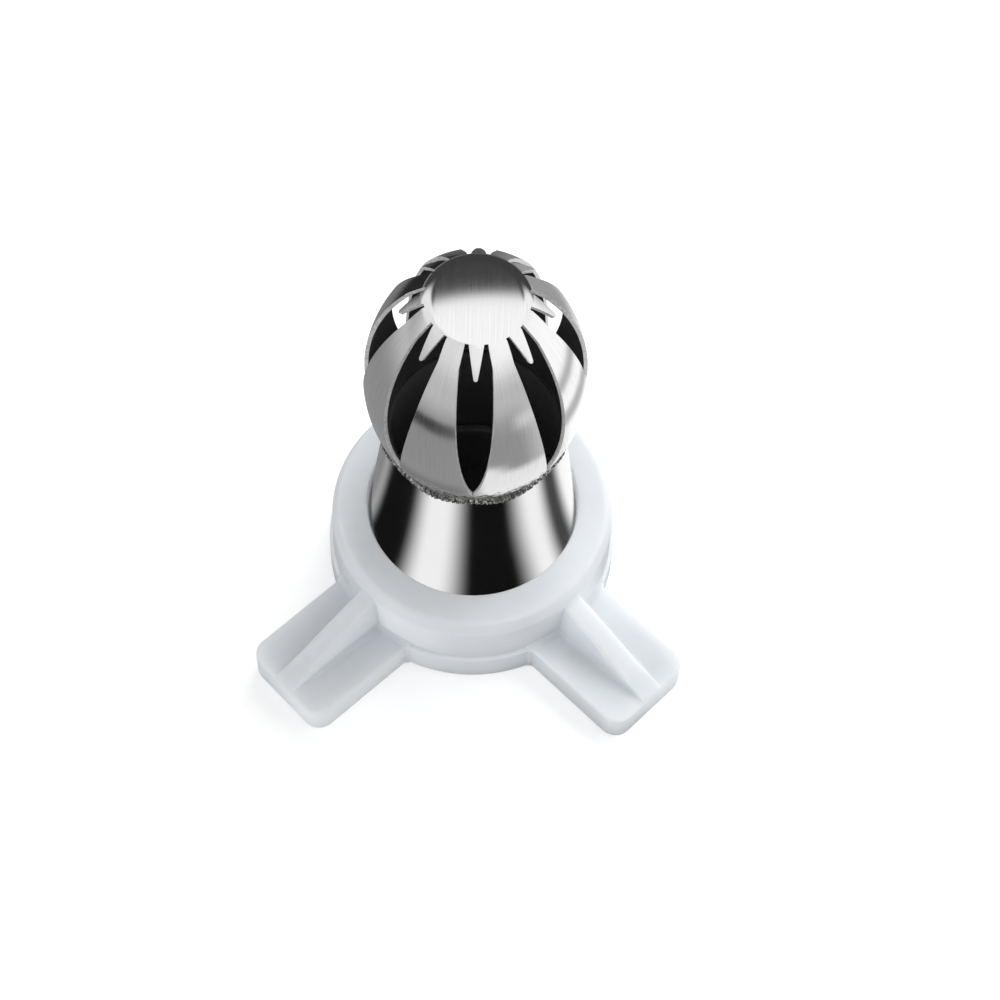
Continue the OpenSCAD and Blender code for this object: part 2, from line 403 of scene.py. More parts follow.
# %% [markdown]
# ## The cone and the weld
# The cone is rolled sheet, polished like a mirror. A lathe outline with two small lips is all
# it needs. The weld is what makes the joint look real: a bead of small overlapping drops that
# was never ground off. Its tube radius is a formula of the angle round the joint.

# %% Turn the cone
cone_corners = np.array([
    [foot_r - SHEET, foot_z], [foot_r, foot_z], [JOINT_R, joint_z], [JOINT_R - SHEET, joint_z],
])
cone_outline = with_spacing(rounded(cone_corners, np.array([0.12, 0.12, 0.02, 0.02]), 4), 0.9)
cone = add_piece("polished_cone_tube", *lathe(cone_outline, 224), weld=0.0005)
faces = cone.data.polygons
centre, normal = np.empty((2, len(faces), 3))
faces.foreach_get("center", centre.ravel())
faces.foreach_get("normal", normal.ravel())
looks_inwards = (centre[:, :2] * normal[:, :2]).sum(axis=1) < 0
faces.foreach_set("material_index", looks_inwards.astype(np.int32))
print("faces that look at the axis:", int(looks_inwards.sum()))
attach(cone, "nozzle")
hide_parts("nozzle_cone")

# %% Run the weld bead
BEAD_R, RIPPLES = 0.65, 104


def bead_surface(turns=1344, round_steps=12):
    """A tube round the joint: r = joint + radius cos b, z = joint + radius sin b.

    The radius is BEAD_R times a sum: a plain share, a cosine that is largest below the petals, the
    root of a rectified sine for the drops, and small shares of slow sines, which also shift the
    drops, and of a product of fast ones. Below a petal the tube's middle lies higher and further
    out. The inner side is held against the sheet, which leans out as it rises.
    """
    a = np.linspace(0, 2 * np.pi, turns, endpoint=False)[:, None]
    b = np.linspace(0, 2 * np.pi, round_steps, endpoint=False)[None, :]
    wander = (np.sin(5 * a + 1) + 0.8 * np.sin(13 * a) + 0.6 * np.sin(29 * a + 2)
              + 0.5 * np.sin(53 * a + 5))
    drop = np.sqrt(np.abs(np.sin(RIPPLES / 2 * a + 0.35 * np.sin(b) + 0.9 * wander)))
    fine = np.sin(211 * a + 3 * b + wander) * np.sin(97 * a - 2 * b)
    petal = (1 - np.cos(SLOTS * (a + np.pi / 2))) / 2
    radius = BEAD_R * (0.68 + 0.55 * petal + 0.36 * drop + 0.06 * wander + 0.10 * fine)
    z = joint_z + 0.15 + 0.55 * petal + 0.05 * wander + radius * np.sin(b)
    r = np.maximum(JOINT_R + 0.15 * petal + radius * np.cos(b),
                   JOINT_R - 0.4 + 0.42 * np.maximum(z - joint_z, 0))
    return about_axis(r, a, z).reshape(-1, 3), grid_quads(turns, round_steps, True, True)


bead = add_piece("weld_run", *bead_surface(), weld=0.0005, sharp=60)
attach(bead, "nozzle")
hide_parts("weld_bead")

# %% [markdown]
# ## The screw thread
# The collar screws onto the base by a coarse moulded thread. A thread is a lathe outline whose
# radius also depends on how far a point lies from a helix. The collar's ridge and the base's
# groove use one helix, so they stay in mesh while the collar turns and climbs.

# %% One helix for both threads
RIDGE_EDGE, GROOVE_EDGE, GROOVE_SLACK = (0.09, 0.2), (0.16, 0.27), 0.1
RIDGE_START, RIDGE_END = (0.7, 2.2), (6.6, 8.1)
SAME_R = 0.01


def helix_place(a, z):
    """Where a point lies between two turns of a helix: 0 on a ridge, half between two."""
    return np.abs(np.mod(z / PITCH - a / (2 * np.pi) + 0.5, 1) - 0.5)


def soft_step(x, low, high):
    """0 below low, 1 above high, and 3 t^2 - 2 t^3 between."""
    t = np.clip((x - low) / (high - low), 0, 1)
    return t * t * (3 - 2 * t)


def collar_thread(a, r, z):
    """A ridge that stands inwards from the skirt and fades out at both ends."""
    on_skirt = np.abs(r - skirt_r) < SAME_R
    ridge = 1 - soft_step(helix_place(a, z), *RIDGE_EDGE)
    ends = soft_step(z, *RIDGE_START) * (1 - soft_step(z, *RIDGE_END))
    return np.where(on_skirt, -THREAD_DEPTH * ridge * ends, 0)


def base_thread(a, r, z):
    """A groove in the barrel, wider than the ridge that runs in it."""
    on_barrel = np.abs(r - barrel_r) < SAME_R
    groove = 1 - soft_step(helix_place(a, z), *GROOVE_EDGE)
    return np.where(on_barrel, -(THREAD_DEPTH + GROOVE_SLACK) * groove, 0)


skirt_r = barrel_r + THREAD_CLEAR
print(f"thread: {PITCH} mm pitch, {THREAD_DEPTH} mm deep, on a {2 * barrel_r:.1f} mm barrel")

# %% Turn the base
spigot_top_r = cone_r(spigot_z) - SHEET - SPIGOT_CLEAR
spigot_foot_r = cone_r(BARREL_H) - SHEET - SPIGOT_CLEAR
base_corners = np.array([
    [BORE_R, 0], [barrel_r - BASE_CHAMFER, 0], [barrel_r, BASE_CHAMFER], [barrel_r, BARREL_H],
    [spigot_foot_r, BARREL_H], [spigot_top_r, spigot_z - BASE_CHAMFER],
    [spigot_top_r - BASE_CHAMFER, spigot_z], [BORE_R, spigot_z],
])
base_radii = np.array([0.15, 0.15, 0.15, 0.2, 0.15, 0.2, 0.2, 0.2])
base_outline = with_spacing(rounded(base_corners, base_radii, 3), 0.22)
base = add_piece("threaded_base", *lathe(base_outline, 240, base_thread), weld=0.0005)
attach(base, "base")
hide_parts("coupler_base")

# %% [markdown]
# ## The collar
# The collar is one moulding: a turned ring and three wings with a rib on top and a hollow
# beneath. Ring and wings are separate surfaces first. Each wing flares where it meets the
# ring, as the fillet of a mould does, and then one union makes a single skin of all four, which
# matters because light that scatters inside the plastic would see any wall left within it.

# %% Turn the ring
wall_r = skirt_r + COLLAR_WALL
flange_r = wall_r + FLANGE_OUT
lip_z = collar_h - LIP_FALL
bevel_z = lip_z - BEVEL_H + LIP_EDGE_R
under_z = collar_h - LIP_T
seat_z = under_z + SEAT_H
rim_r = cone_r(collar_h) + RIM_GAP
ring_corners = np.array([
    [skirt_r, 0], [flange_r, 0], [flange_r, FLANGE_H], [wall_r, FLANGE_H], [wall_r, bevel_z],
    [wall_r - BEVEL_IN, lip_z], [rim_r, collar_h], [cone_r(seat_z) + SEAT_CLEAR, seat_z],
    [cone_r(under_z) + SEAT_CLEAR, under_z], [skirt_r, under_z],
])
ring_radii = np.array([0.3, 0.5, 0.33, 0.26, 1.6, LIP_EDGE_R, 0.22, 0.2, 0.2, 0.8])
ring_outline = with_spacing(rounded(ring_corners, ring_radii, 7), 0.3)
ring = add_piece("collar_ring", *lathe(ring_outline, 256, collar_thread), weld=0.0005)

# %% Describe the section of a wing at each distance from the axis


def quarter_round(past, radius):
    """A rounded corner's fall: radius less the root of radius squared less past squared."""
    return radius - np.sqrt(np.clip(radius ** 2 - np.clip(past, 0, None) ** 2, 0, None))


def wing_surface():
    """A section across the wing, carried out along X, then capped at both ends.

    Plan: the half width is constant, then falls back along a quarter round. Side: the rib falls
    in a straight line to nothing at the end. Beneath, a pocket leaves a wall all round.
    """
    root = (skirt_r + math.sqrt(wall_r ** 2 - (WING_W / 2) ** 2)) / 2
    corner_x, end_r = wing_reach - WING_CORNER_R, 0.5
    near = np.linspace(root, flange_r + 1.6, 30)
    pocket = flange_r + CORE_WALL + np.array([0, 0.2, 0.45, 0.7])
    far = corner_x + WING_CORNER_R * np.sin(np.linspace(0, np.pi / 2, 26))
    x = np.unique(np.round(np.r_[near, pocket, np.linspace(flange_r + 2.7, corner_x, 26), far], 4))
    half = WING_W / 2 - quarter_round(x - corner_x, WING_CORNER_R)
    inset = quarter_round(x - wing_reach + end_r, end_r)
    low, top = inset, FLANGE_H - inset
    rise = RIB_RISE * np.clip((wing_reach - x) / (wing_reach - wall_r), 0.012, 1)
    rib_foot, rib_top = RIB_W / 2 + 0.06 * rise, RIB_W / 2 - 0.03 * rise
    core_start, core_end = flange_r + CORE_WALL, wing_reach - CORE_WALL
    deep = soft_step(x, core_start, core_start + 0.5) * (1 - soft_step(x, core_end - 0.9, core_end))
    depth = 0.02 + (FLANGE_H - CORE_WALL) * deep
    core = WING_W / 2 - CORE_WALL - 1.1 * soft_step(x, core_end - 1.6, core_end) ** 2
    ys = [-half, -core, -core + 0.15, core - 0.15, core, half,
          half, rib_foot, rib_top, -rib_top, -rib_foot, -half]
    zs = [low, low, low + depth, low + depth, low, low,
          top, top, top + rise, top + rise, top, top]
    section = np.stack([np.stack(ys, -1), np.stack(zs, -1)], axis=-1)
    small = np.clip(rise / 2.4, 0.02, 1)
    edge_r, mouth_r, core_r = 0.45 + 0 * x, 0.12 * deep + 0.005, 0.5 * deep + 0.005
    foot_radius, rib_radius = 1.1 * small, 0.8 * small
    radii = np.stack([edge_r, mouth_r, core_r, core_r, mouth_r, edge_r,
                      edge_r, foot_radius, rib_radius, rib_radius, foot_radius, edge_r], axis=-1)
    loop = even_loop(rounded(section, radii, 6), 7)
    along = np.broadcast_to(x[:, None, None], loop.shape[:2] + (1,))
    return capped(flare(np.concatenate([along, loop], axis=-1)))


def even_loop(loop, between):
    """Adds points between each pair of arcs, so that no stretch of the section is one long face."""
    after = np.roll(loop, -1, axis=1)
    t = np.linspace(0, 1, between, endpoint=False)[:, None]
    dense = loop[:, :, None, :] * (1 - t) + after[:, :, None, :] * t
    gap = np.linalg.norm(after - loop, axis=-1).max(axis=0)
    keep = np.zeros((loop.shape[1], between), bool)
    keep[:, 0] = True
    keep[gap > 0.6] = True
    return dense.reshape(len(loop), -1, 2)[:, keep.reshape(-1)]


def flare(points, top_reach=0.8, side_reach=0.45):
    """Near the ring, lifts the top and spreads the sides by reach times (1 - d / reach) squared.

    d is the distance from the wall for the top, and from the flange for the sides.
    """
    x, y, z = points[..., 0], points[..., 1], points[..., 2]
    up = top_reach * (1 - np.clip((np.hypot(x, y) - wall_r) / top_reach, 0, 1)) ** 2
    out = side_reach * (1 - np.clip((np.hypot(x, y) - flange_r) / side_reach, 0, 1)) ** 2
    high_up = soft_step(z, FLANGE_H + 1, FLANGE_H + 5)
    is_top = soft_step(z, FLANGE_H - 0.5, FLANGE_H - 0.05) * (1 - 0.6 * high_up)
    is_side = soft_step(np.abs(y), WING_W / 2 - 0.5, WING_W / 2 - 0.05)
    points[..., 2] = z + up * is_top
    points[..., 1] = y + np.sign(y) * out * is_side
    return points


def capped(points):
    """Closes both ends of a carried section by shrinking its loop to its own middle."""
    def cap(loop):
        middle = loop.mean(axis=0)
        middle[1] = 0
        shrink = np.array([0.75, 0.4, 0.0])[:, None, None]
        ring_points = middle + (loop - middle) * shrink
        ring_points[..., 0] = loop[:, 0]
        return ring_points

    whole = np.concatenate([cap(points[0])[::-1], points, cap(points[-1])])
    return whole.reshape(-1, 3), grid_quads(len(whole), points.shape[1], wrap_columns=True)


wing_points, wing_quads = wing_surface()
print("one wing has", len(wing_quads), "quads")

# %% Place three wings and join everything into one skin


def turned(points, degrees):
    """Points turned about Z: x cos - y sin, x sin + y cos."""
    c, s = math.cos(math.radians(degrees)), math.sin(math.radians(degrees))
    x, y, z = points.T
    return np.column_stack([x * c - y * s, x * s + y * c, z])


def merged_with(piece, others):
    """The union of closed meshes as one mesh, with the tools used for it removed."""
    for other in others:
        union = piece.modifiers.new("union", "BOOLEAN")
        union.operation = "UNION"
        union.object = other
        union.solver = "MANIFOLD"
    graph = bpy.context.evaluated_depsgraph_get()
    mesh = bpy.data.meshes.new_from_object(piece.evaluated_get(graph))
    piece.modifiers.clear()
    old, piece.data = piece.data, mesh
    bpy.data.meshes.remove(old)
    for other in others:
        bpy.data.objects.remove(other)
    mesh.set_sharp_from_angle(angle=math.radians(32))
    return piece


wing_turns = [-90 - WING_ANGLE, -90 + WING_ANGLE, 90]
wings = [add_piece(f"wing_{k}", turned(wing_points, turn), wing_quads, weld=0.0001)
         for k, turn in enumerate(wing_turns)]
collar = merged_with(ring, wings)
collar.name = "winged_collar"
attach(collar, "collar")
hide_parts("lock_collar")
collar.visible_glossy = False
print("collar skin:", len(collar.data.polygons), "faces")

# %% [markdown]
# ## Shared effects
# Two effects serve more than one material, so each is a node group. Fine lines come from
# noise that is stretched a hundredfold one way, which is what a brush or a polishing wheel
# leaves. The skin of a moulding is a soft, cloudy unevenness with a fine spark-eroded grain.
# The groups put out plain values, and each material turns them into its own roughness and bump.
# A few helpers come first, because every material is a chain of the same small nodes.

# %% Add nodes and feed them


def add_node(tree, kind, **settings):
    """A node. A setting with the name of an input sets that input, any other sets a property."""
    node = tree.nodes.new(kind)
    for key, value in settings.items():
        if key in node.inputs:
            node.inputs[key].default_value = value
        else:
            setattr(node, key, value)
    return node


def put(tree, value, target):
    """Links another node's output to an input, or sets the input to a plain number or colour."""
    if isinstance(value, bpy.types.NodeSocket):
        tree.links.new(value, target)
    else:
        target.default_value = value


def feed(tree, node, **values):
    """Puts each value into the input of its name, with a space for each underscore."""
    for key, value in values.items():
        put(tree, value, node.inputs[key.replace("_", " ")])


def noise(tree, place, scale, detail, roughness):
    """Noise at a place: a value between 0 and 1 that lies mostly near one half."""
    node = add_node(tree, "ShaderNodeTexNoise")
    feed(tree, node, Vector=place, Scale=scale, Detail=detail, Roughness=roughness)
    return node.outputs["Fac"]


def new_group(name, values, outputs):
    """An empty shader group with a Vector input, inputs for plain values, and value outputs."""
    group = bpy.data.node_groups.new(name, "ShaderNodeTree")
    group.interface.new_socket("Vector", in_out="INPUT", socket_type="NodeSocketVector")
    for key, value in values.items():
        socket = group.interface.new_socket(key, in_out="INPUT", socket_type="NodeSocketFloat")
        socket.default_value = value
    for key in outputs:
        group.interface.new_socket(key, in_out="OUTPUT", socket_type="NodeSocketFloat")
    start, end = group.nodes.new("NodeGroupInput"), group.nodes.new("NodeGroupOutput")
    return group, start.outputs, end.inputs


print("node helpers: add_node, put, feed, noise and new_group")

# %% Build the two groups


def fine_lines():
    """Lines along V: noise on coordinates times Across one way and times Along the other ways."""
    group, start, end = new_group("fine lines", {"Across": 900.0, "Along": 8.0}, ["Lines", "Cloud"])
    scale = add_node(group, "ShaderNodeCombineXYZ")
    for value, axis in (("Across", "X"), ("Along", "Y"), ("Along", "Z")):
        group.links.new(start[value], scale.inputs[axis])
    stretch = add_node(group, "ShaderNodeVectorMath", operation="MULTIPLY")
    group.links.new(start["Vector"], stretch.inputs[0])
    group.links.new(scale.outputs["Vector"], stretch.inputs[1])
    lines = noise(group, stretch.outputs["Vector"], scale=1.0, detail=3.0, roughness=0.6)
    cloud = noise(group, start["Vector"], scale=45.0, detail=2.0, roughness=0.5)
    group.links.new(lines, end["Lines"])
    group.links.new(cloud, end["Cloud"])
    return group


def moulded_skin():
    """A cloudy unevenness and a fine grain: two noises on coordinates times Scale."""
    group, start, end = new_group("moulded skin", {"Scale": 1.0}, ["Cloud", "Grain"])
    scaled = add_node(group, "ShaderNodeVectorMath", operation="SCALE")
    feed(group, scaled, Vector=start["Vector"], Scale=start["Scale"])
    cloud = noise(group, scaled.outputs["Vector"], scale=110.0, detail=3.0, roughness=0.5)
    grain = noise(group, scaled.outputs["Vector"], scale=2600.0, detail=2.0, roughness=0.6)
    group.links.new(cloud, end["Cloud"])
    group.links.new(grain, end["Grain"])
    return group


LINES, SKIN = fine_lines(), moulded_skin()
print("node groups:", LINES.name, "and", SKIN.name)

# %% [markdown]
# ## Steps inside a material
# A finish changes over a piece in a few ways: with noise, with height, and with the distance
# from the axis. Each way is one small helper that returns an output, so a material reads like a
# recipe. What is the same all over a piece is set on the shader's own socket.

# %% Start a material, and place a group in it


def new_material(name, **settings):
    """A Principled material. Each setting is a number or colour on the shader's own socket."""
    material = bpy.data.materials.new(name)
    material.use_nodes = True
    tree = material.node_tree
    shader = tree.nodes["Principled BSDF"]
    feed(tree, shader, **settings)
    return material, tree, shader


def effect(tree, group, place, **settings):
    """Places a shared group on coordinates, with its own values. Returns its outputs."""
    node = add_node(tree, "ShaderNodeGroup", node_tree=group)
    feed(tree, node, Vector=place, **settings)
    return node.outputs


def object_place(tree):
    """The piece's own coordinates, in metres."""
    return add_node(tree, "ShaderNodeTexCoord").outputs["Object"]


def grey(level, blue=0.0):
    """A grey, with a little more blue where steel or plastic is cooler."""
    return (level, level, level + blue, 1)


print("a cool grey:", grey(0.68, 0.005))

# %% Turn values into other values
NOISE_SPREAD = 0.15


def map_range(tree, value, low, high, from_value, to_value, **settings):
    """Carries the range low to high of a value over to another range."""
    node = add_node(tree, "ShaderNodeMapRange", **settings)
    feed(tree, node, Value=value, From_Min=low, From_Max=high, To_Min=from_value, To_Max=to_value)
    return node.outputs["Result"]


def noise_range(tree, value, low, high, spread=NOISE_SPREAD):
    """Carries noise, which lies mostly within a spread of one half, over to a range."""
    return map_range(tree, value, 0.5 - spread, 0.5 + spread, low, high)


def height_range(tree, low, high, from_value, to_value):
    """A value that goes smoothly from one number to another between two heights, in mm."""
    split = add_node(tree, "ShaderNodeSeparateXYZ")
    feed(tree, split, Vector=object_place(tree))
    return map_range(tree, split.outputs["Z"], low * MM, high * MM, from_value, to_value,
                     interpolation_type="SMOOTHSTEP")


def combined(tree, operation, *values, **settings):
    """One Math node over two or three values."""
    node = add_node(tree, "ShaderNodeMath", operation=operation, **settings)
    for value, target in zip(values, node.inputs):
        put(tree, value, target)
    return node.outputs["Value"]


def mixed(tree, first, second, factor):
    """The first colour where the factor is 0, the second where it is 1."""
    node = add_node(tree, "ShaderNodeMix", data_type="RGBA")
    feed(tree, node, A=first, B=second, Factor=factor)
    return node.outputs["Result"]


def bumped(tree, height, strength, depth, under=None):
    """The normal that a height of some depth in mm gives, on top of another bump if there is one."""
    node = add_node(tree, "ShaderNodeBump")
    feed(tree, node, Height=height, Strength=strength, Distance=depth * MM)
    if under is not None:
        feed(tree, node, Normal=under)
    return node.outputs["Normal"]


def from_axis(tree):
    """Distance from the Z axis in metres: the length of the place with its Z made zero."""
    level = add_node(tree, "ShaderNodeVectorMath", operation="MULTIPLY")
    level.inputs[1].default_value = (1, 1, 0)
    tree.links.new(object_place(tree), level.inputs[0])
    reach = add_node(tree, "ShaderNodeVectorMath", operation="LENGTH")
    feed(tree, reach, Vector=level.outputs["Vector"])
    return reach.outputs["Value"]


def outside_radius(tree, radius):
    """1 where the surface lies further from the axis than a radius in mm, and 0 within it."""
    return combined(tree, "GREATER_THAN", from_axis(tree), radius * MM)


print("noise lies mostly within", NOISE_SPREAD, "of one half")

# %% [markdown]
# ## The metals
# All the steel is the same alloy with different finishes. The ball is brushed, so its
# reflections are soft and streaked, and welding has left soot and spatter on its foot. Inside
# the ball the sheet was never polished and stays dull, and its colour there is painted near
# black: painted shade. The punch has left bright edges. Each finish is one recipe of noise over
# the piece. A flat grey would look like paint.

# %% Brushed steel, dull steel and cut steel for the ball
SOOT_FULL, SOOT_END = joint_z + 2.5, joint_z + 7.6
SPATTER_FULL, SPATTER_END = joint_z + 1.5, joint_z + 6.5
SMOOTH_TOP, WAVES_END = crease_z - 1.0, crease_z - 2.0
print(f"soot is thick up to {SOOT_FULL:.1f} mm and gone by {SOOT_END:.1f} mm")


def brushed_steel():
    """Lines along V of the piece's own map, smoother on the flat top, sooty close to the weld.

    Soot is noise plus a height range, clamped. It darkens, roughens and takes the metal's mirror.
    """
    material, tree, shader = new_material("brushed_steel", Specular_IOR_Level=0.0)
    own_map = add_node(tree, "ShaderNodeUVMap", uv_map="grain").outputs["UV"]
    lines = effect(tree, LINES, own_map, Across=1300.0, Along=12.0)["Lines"]
    place = object_place(tree)
    soot = noise(tree, place, scale=1300.0, detail=3.0, roughness=0.6)
    dents = noise(tree, place, scale=260.0, detail=2.0, roughness=0.45)
    near_weld = combined(
        tree, "ADD", noise_range(tree, soot, -0.7, 0.5, spread=0.13),
        height_range(tree, SOOT_FULL, SOOT_END, 1.2, -0.5), use_clamp=True)
    tint = mixed(tree, grey(0.68, 0.005), grey(0.81, 0.005),
                 noise_range(tree, lines, 0, 1, spread=0.22))
    most = height_range(tree, SMOOTH_TOP, crease_z, 0.16, 0.085)
    rough = map_range(tree, noise_range(tree, lines, 0.8, 1.2), 0, 1, 0, most)
    spatter_strength = height_range(tree, SPATTER_FULL, SPATTER_END, 0.32, 0.0)
    spatter = bumped(tree, soot, spatter_strength, depth=0.06)
    wave_strength = height_range(tree, WAVES_END, crease_z, 0.5, 0.0)
    wavy = bumped(tree, dents, wave_strength, depth=0.04, under=spatter)
    feed(tree, shader,
         Base_Color=mixed(tree, tint, grey(0.1), near_weld),
         Metallic=combined(tree, "MULTIPLY_ADD", near_weld, -0.9, 1.0),
         Roughness=combined(tree, "MAXIMUM", rough, combined(tree, "MULTIPLY", near_weld, 0.45)),
         Normal=bumped(tree, lines, strength=0.035, depth=0.01, under=wavy))
    return material


def dull_steel():
    """The unpolished back of the sheet: cloudy and rough. Its colour is painted near black inside the
    ball as painted shade, and is a lighter grey in the cone.
    """
    material, tree, shader = new_material("dull_steel", Metallic=0.4)
    skin = effect(tree, SKIN, object_place(tree))
    # Painted shade: above the joint, inside the ball, the colour falls to near black.
    share = combined(
        tree, "ADD", noise_range(tree, skin["Cloud"], -0.02, 0.02),
        height_range(tree, joint_z - 2, joint_z, 0.85, 0.05))
    feed(tree, shader,
         Base_Color=mixed(tree, grey(0.045, 0.001), grey(0.38, 0.005), share),
         Roughness=noise_range(tree, skin["Cloud"], 0.48, 0.62),
         Normal=bumped(tree, skin["Grain"], strength=0.1, depth=0.03))
    return material


def cut_steel():
    """The bright edge that a punch leaves: a fine grain, rougher than the face."""
    material, tree, shader = new_material("cut_steel", Metallic=0.3)
    grain = effect(tree, SKIN, object_place(tree))["Grain"]
    feed(tree, shader,
         Base_Color=mixed(tree, grey(0.66), grey(0.88), noise_range(tree, grain, 0, 1)),
         Roughness=noise_range(tree, grain, 0.3, 0.46))
    return material


for finish in (brushed_steel(), dull_steel(), cut_steel()):
    ball.data.materials.append(finish)
print("ball materials:", [m.name for m in ball.data.materials])

# %% [markdown]
# The cone is polished on a wheel, so it mirrors the studio in long upright bands, with a trace
# of fine lines round it. The weld was left as it cooled: bare scale below, and burnt where it
# meets the ball. Noise at the size of the scale gives its colour, roughness and height at once.

# %% Polished steel for the cone, and bare metal for the weld


def polished_steel():
    """A mirror with very fine lines round the cone: a quarter turn about Y puts Z across them."""
    material, tree, shader = new_material(
        "polished_steel", Base_Color=grey(0.75, 0.005), Metallic=1.0)
    quarter_turn = add_node(tree, "ShaderNodeMapping", Rotation=(0, math.radians(90), 0))
    feed(tree, quarter_turn, Vector=object_place(tree))
    lines = effect(tree, LINES, quarter_turn.outputs["Vector"], Across=2600.0, Along=30.0)
    feed(tree, shader,
         Roughness=noise_range(tree, lines["Cloud"], 0.10, 0.14),
         Normal=bumped(tree, lines["Lines"], strength=0.03, depth=0.01))
    return material


def bare_weld():
    """Melted metal: rough, with darker and lighter scale, and burnt along its upper edge."""
    material, tree, shader = new_material("bare_weld", Metallic=1.0)
    scale = noise(tree, object_place(tree), scale=2200.0, detail=3.0, roughness=0.65)
    light_scale = map_range(tree, scale, 0.42, 0.6, 0, 1)
    bare = mixed(tree, grey(0.05, 0.002), (0.62, 0.61, 0.59, 1), light_scale)
    below_edge = height_range(tree, joint_z + 0.6, joint_z + 1.5, 1.0, 0.12)
    feed(tree, shader,
         Base_Color=mixed(tree, grey(0.07), bare, below_edge),
         Roughness=noise_range(tree, scale, 0.3, 0.55),
         Normal=bumped(tree, scale, strength=0.5, depth=0.08))
    return material


cone.data.materials.append(polished_steel())
cone.data.materials.append(ball.data.materials[1])
bead.data.materials.append(bare_weld())
print("cone:", cone.data.materials[0].name, "- weld:", bead.data.materials[0].name)

# %% [markdown]
# ## The plastic
# The collar and base are natural polypropylene: a milky plastic that lets light in, scatters
# it and gives it back a little further on. Thin parts look whiter and thick parts look greyer.
# Scatter below the surface does that. A plain white would look like painted metal.

# %% Milky plastic
# Painted shade for the plastic inside the bore and under the cone's foot.
PAINTED_BORE_SHADE = grey(0.3, 0.005)
SEAT_MARGIN = 0.2


def milky_plastic(name, colour, reach, bore=0):
    """Scatters light below its skin over the given reach in metres, red a little further than blue.

    Inside a bore, and where the cone's foot stands, it is painted grey: painted shade in the hollow
    and under the foot.
    """
    material, tree, shader = new_material(
        name, IOR=1.49, Subsurface_Weight=1.0, Subsurface_Radius=(1.0, 0.92, 0.88),
        Subsurface_Scale=reach)
    skin = effect(tree, SKIN, object_place(tree))
    darker, lighter = [[min(c * share, 1) for c in colour] + [1] for share in (0.965, 1.02)]
    tint = mixed(tree, darker, lighter, noise_range(tree, skin["Cloud"], 0, 1))
    # Painted shade: grey inside the bore and where the cone's foot stands.
    if bore:
        off_seat = combined(
            tree, "MAXIMUM", outside_radius(tree, foot_r - SHEET + SEAT_MARGIN),
            height_range(tree, foot_z - 1.5, foot_z - 1.0, 1.0, 0.0))
        unshaded_plastic = combined(tree, "MINIMUM", outside_radius(tree, bore), off_seat)
        tint = mixed(tree, PAINTED_BORE_SHADE, tint, unshaded_plastic)
    feed(tree, shader,
         Base_Color=tint,
         Roughness=noise_range(tree, skin["Grain"], 0.34, 0.44),
         Normal=bumped(tree, skin["Grain"], strength=0.06, depth=0.02))
    return material


collar.data.materials.clear()
collar.data.materials.append(milky_plastic("milky_plastic", (0.79, 0.82, 0.85), reach=0.0035))
base.data.materials.append(
    milky_plastic("milky_base_plastic", (0.80, 0.82, 0.835), reach=0.003, bore=BORE_R + 0.15))
print("plastic:", collar.data.materials[0].name, "and", base.data.materials[0].name)

# %% [markdown]
# ## The studio
# The set is a white table and a bright room, which is how small metal goods are shown. Polished
# steel has no look of its own and shows what stands round it. So the set has dark cards and
# light cards that only the metal sees. The camera, the shadows and the plastic don't. The floor
# and the room look white but light the object less than that, which Light Path keeps apart.

# %% Lay the floor and light the room
bpy.ops.mesh.primitive_plane_add(size=6, location=(0, 0, 0))
floor = bpy.context.object
floor.name = "floor"


def seen_directly(tree):
    """A value that is 1 for camera, glossy and transmission rays, and 0 for the rest."""
    ray = add_node(tree, "ShaderNodeLightPath").outputs
    seen = combined(tree, "ADD", ray["Is Camera Ray"], ray["Is Glossy Ray"], use_clamp=True)
    return combined(tree, "ADD", seen, ray["Is Transmission Ray"], use_clamp=True)


def level_between(tree, hidden, shown):
    """One level for light on its way to a surface, another where it is seen."""
    return map_range(tree, seen_directly(tree), 0, 1, hidden, shown)


FLOOR_GLOW, ROOM = 0.38, 0.43
NEAR_FLOOR, FAR_FLOOR, FAR_GLOW = 0.25, 1.5, 1.7
floor_material, tree, shader = new_material(
    "floor_white", Roughness=0.6, Specular_IOR_Level=0.0, Emission_Color=(1, 1, 1, 1))
# Inside the bore the floor is painted dark grey and doesn't glow: painted shade under the nozzle.
outside = outside_radius(tree, BORE_R + 1)
glow = combined(tree, "MULTIPLY", outside, level_between(tree, 0, FLOOR_GLOW))
rise = map_range(tree, from_axis(tree), NEAR_FLOOR, FAR_FLOOR, 1.0, FAR_GLOW,
                 interpolation_type="SMOOTHSTEP")
feed(tree, shader,
     Base_Color=mixed(tree, grey(0.15), grey(0.9), outside),
     Emission_Strength=combined(tree, "MULTIPLY", glow, rise))
floor.data.materials.append(floor_material)

world = bpy.data.worlds.new("room")
bpy.context.scene.world = world
world.use_nodes = True
tree = world.node_tree
feed(tree, tree.nodes["Background"], Color=(1, 1, 1, 1), Strength=level_between(tree, ROOM, 1.0))
print("floor glows at", FLOOR_GLOW, "and the room at", ROOM)

# %% Hang the lamps


def add_softbox(name, place, size, power):
    """A square area lamp that faces the object's foot."""
    lamp = bpy.data.lights.new(name, "AREA")
    lamp.shape, lamp.size, lamp.energy = "SQUARE", size, power
    box = new_object(name, lamp)
    box.location = place
    aim = -np.array(place) / np.linalg.norm(place)
    box.rotation_euler = (math.acos(-aim[2]), 0, math.atan2(aim[1], aim[0]) - math.pi / 2)
    box.visible_glossy = False
    print(f"{name}: {size} m wide, {power} W")


add_softbox("back_softbox", (0.42, 0.62, 0.78), size=0.8, power=6.9)
add_softbox("right_softbox", (0.95, -0.05, 0.55), size=0.8, power=3.0)
add_softbox("front_softbox", (-0.8, -0.75, 0.22), size=0.6, power=4.2)

